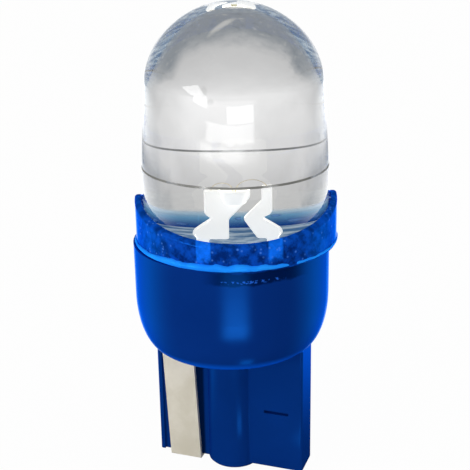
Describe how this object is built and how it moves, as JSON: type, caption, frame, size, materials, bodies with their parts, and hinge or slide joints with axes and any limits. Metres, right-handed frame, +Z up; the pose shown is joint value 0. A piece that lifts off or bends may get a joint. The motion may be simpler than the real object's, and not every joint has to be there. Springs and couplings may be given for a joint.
{
  "type": "wedge base led bulb",
  "caption": "Plug-in LED bulb: clear domed lamp glued in a scooped blue ring on a hollow rounded body, over a flat wedge base with a central pillar and tinned contact strips.",
  "frame": {"origin": "middle of the wedge plate's bottom face, where the bulb plugs in", "axes": "+Z up the bulb's axis from the wedge to the dome, +X along the wedge's width, -Y out of the face that the picture shows"},
  "size_m": [0.0124, 0.0123, 0.0288],
  "materials": {
    "body_plastic": "translucent deep blue moulding",
    "ring_plastic": "translucent blue moulding",
    "glue": "clear glue with small bubbles",
    "seam_glue": "blue tinted glue",
    "lens": "clear cast epoxy",
    "lead_frame": "silver plated iron",
    "contact_metal": "matte tin plate",
    "chip": "polished chip",
    "chip_pad": "silver filled adhesive",
    "bond_wire": "gold wire",
    "resistor_coat": "coated ceramic rod",
    "resistor_cap": "plated steel cap",
    "tinned_wire": "tinned wire",
    "solder": "solder"
  },
  "bodies": {
    "root": {"base_body": "body_plastic", "collar_ring": "ring_plastic", "lamp_glue": "glue", "seam_bead": "seam_glue", "lamp_lens": "lens", "cathode_lead": "lead_frame", "anode_lead": "lead_frame", "contact_front": "contact_metal", "contact_rear": "contact_metal", "led_chip": "chip", "chip_pad": "chip_pad", "bond_wire_post": "bond_wire", "bond_wire_anvil": "bond_wire", "resistor_core": "resistor_coat", "resistor_cap_low": "resistor_cap", "resistor_cap_high": "resistor_cap", "resistor_wire_high": "tinned_wire", "resistor_wire_low": "tinned_wire", "solder_anode": "solder", "solder_front": "solder", "solder_rear": "solder"}
  },
  "joints": []
}
